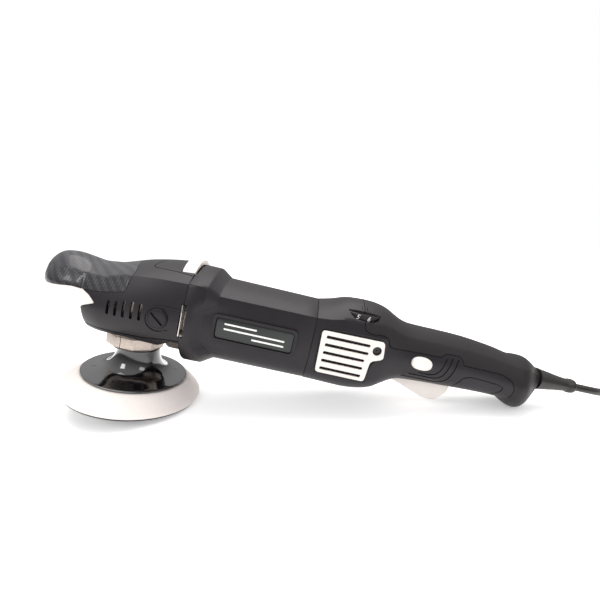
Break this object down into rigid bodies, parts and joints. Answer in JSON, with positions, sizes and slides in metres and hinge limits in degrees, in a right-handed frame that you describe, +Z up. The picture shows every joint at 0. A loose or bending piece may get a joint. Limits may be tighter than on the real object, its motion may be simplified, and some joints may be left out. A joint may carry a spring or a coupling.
{
  "type": "dual action polisher",
  "caption": "Corded orbital polisher with a front grip, gear head, motor barrel, rear paddle-trigger handle and a round hook-and-loop backing plate, resting nose up.",
  "frame": {"origin": "centre of the footprint of the machine without its cord, on the surface that it rests on", "axes": "+X from the nose to the handle, +Z up; the machine rests on the rear edge of its plate and the end of its handle, so its spindle leans 12 degrees towards +X"},
  "size_m": [0.6749, 0.1929, 0.1486],
  "materials": {
    "black_plastic": "fine moulded texture, satin",
    "carbon_print": "woven carbon pattern under a clear coat",
    "grip_rubber": "soft moulded grip, matt",
    "pale_plastic": "moulded, satin",
    "cast_aluminium": "die cast, tumbled",
    "steel": "ground",
    "plug_metal": "nickel plated",
    "motor_iron": "laminated",
    "copper": "wound and turned",
    "carbon": "pressed carbon",
    "badge_plate": "dark, glossy",
    "board": "potted module",
    "hub_gloss": "glass filled, polished",
    "foam": "closed cell foam",
    "hook_face": "hook tape",
    "cord_rubber": "extruded, matt"
  },
  "bodies": {
    "root": {"nose_grip_cover": "carbon_print", "nose_grip_base": "pale_plastic", "head_cover": "black_plastic", "gear_case": "cast_aluminium", "motor_housing": "black_plastic", "handle_upper_shell": "grip_rubber", "handle_lower_shell": "black_plastic", "vent_grille_left": "pale_plastic", "vent_grille_right": "pale_plastic", "strain_relief": "grip_rubber", "badge_left": "badge_plate", "badge_right": "badge_plate", "grille_screw_left": "black_plastic", "grille_screw_right": "black_plastic", "cover_cap_left": "black_plastic", "cover_cap_right": "black_plastic", "bearing_retainer": "steel", "spindle_lower_bearing": "steel", "spindle_upper_bearing": "steel", "front_bearing_plate": "cast_aluminium", "motor_front_bearing": "steel", "rear_bearing_plate": "black_plastic", "motor_rear_bearing": "steel", "stator_core": "motor_iron", "field_coil_front": "copper", "field_coil_rear": "copper", "carbon_brush_left": "carbon", "carbon_brush_right": "carbon", "brush_holder_left": "copper", "brush_holder_right": "copper", "spindle_lock_spring": "steel", "trigger_spring": "steel", "trigger_pin": "steel", "switch_body": "black_plastic", "speed_module": "board", "cord_clamp": "black_plastic", "cord_tube": "cord_rubber", "cord_coil": "cord_rubber", "cord_tail": "cord_rubber", "plug_body": "cord_rubber", "plug_pin_left": "plug_metal", "plug_pin_right": "plug_metal"},
    "armature": {"armature_shaft": "steel", "bevel_pinion": "steel", "armature_core": "motor_iron", "commutator": "copper", "cooling_fan": "black_plastic"},
    "spindle": {"spindle": "steel", "bevel_gear": "steel", "eccentric_hub": "cast_aluminium", "plate_bearing": "steel"},
    "plate": {"plate_shaft": "steel", "plate_bolt": "steel", "backing_plate": "hub_gloss", "foam_ring": "foam", "hook_pad": "hook_face"},
    "trigger": {"trigger": "pale_plastic"},
    "lock_on": {"lock_on_button": "pale_plastic"},
    "spindle_lock": {"spindle_lock_button": "pale_plastic"},
    "dial": {"speed_dial": "black_plastic"}
  },
  "joints": [
    {"name": "armature_spin", "type": "hinge", "parent": "root", "child": "armature", "pos_m": [-0.0796, 0, 0.0831], "axis": [0.9781, 0, -0.2079], "continuous": true},
    {"name": "spindle_spin", "type": "hinge", "parent": "root", "child": "spindle", "pos_m": [-0.17387, 0, 0.07247], "axis": [0.2079, 0, 0.9781], "continuous": true},
    {"name": "plate_spin", "type": "hinge", "parent": "spindle", "child": "plate", "pos_m": [-0.17619, 0, 0.04229], "axis": [0.2079, 0, 0.9781], "continuous": true},
    {"name": "trigger_pull", "type": "hinge", "parent": "root", "child": "trigger", "pos_m": [0.07822, 0, 0.03678], "axis": [0, -1, 0], "range_deg": [0, 7], "stiffness_Nm_per_rad": 1.2, "springref_deg": -6.88, "deforming": ["trigger_spring"]},
    {"name": "lock_on_press", "type": "slide", "parent": "root", "child": "lock_on", "axis": [0, 1, 0], "range_m": [0, 0.0025], "stiffness_N_per_m": 400, "springref_m": -0.002},
    {"name": "spindle_lock_press", "type": "slide", "parent": "root", "child": "spindle_lock", "axis": [-0.2079, 0, -0.9781], "range_m": [0, 0.0025], "stiffness_N_per_m": 400, "springref_m": -0.002, "deforming": ["spindle_lock_spring"]},
    {"name": "speed_dial_turn", "type": "hinge", "parent": "root", "child": "dial", "pos_m": [0.04024, -0.007, 0.09137], "axis": [0.2079, 0, 0.9781], "range_deg": [-180, 45]}
  ],
  "couplings": [
    {"joint": "spindle_spin", "follows": "armature_spin", "ratio": 0.33333}
  ]
}
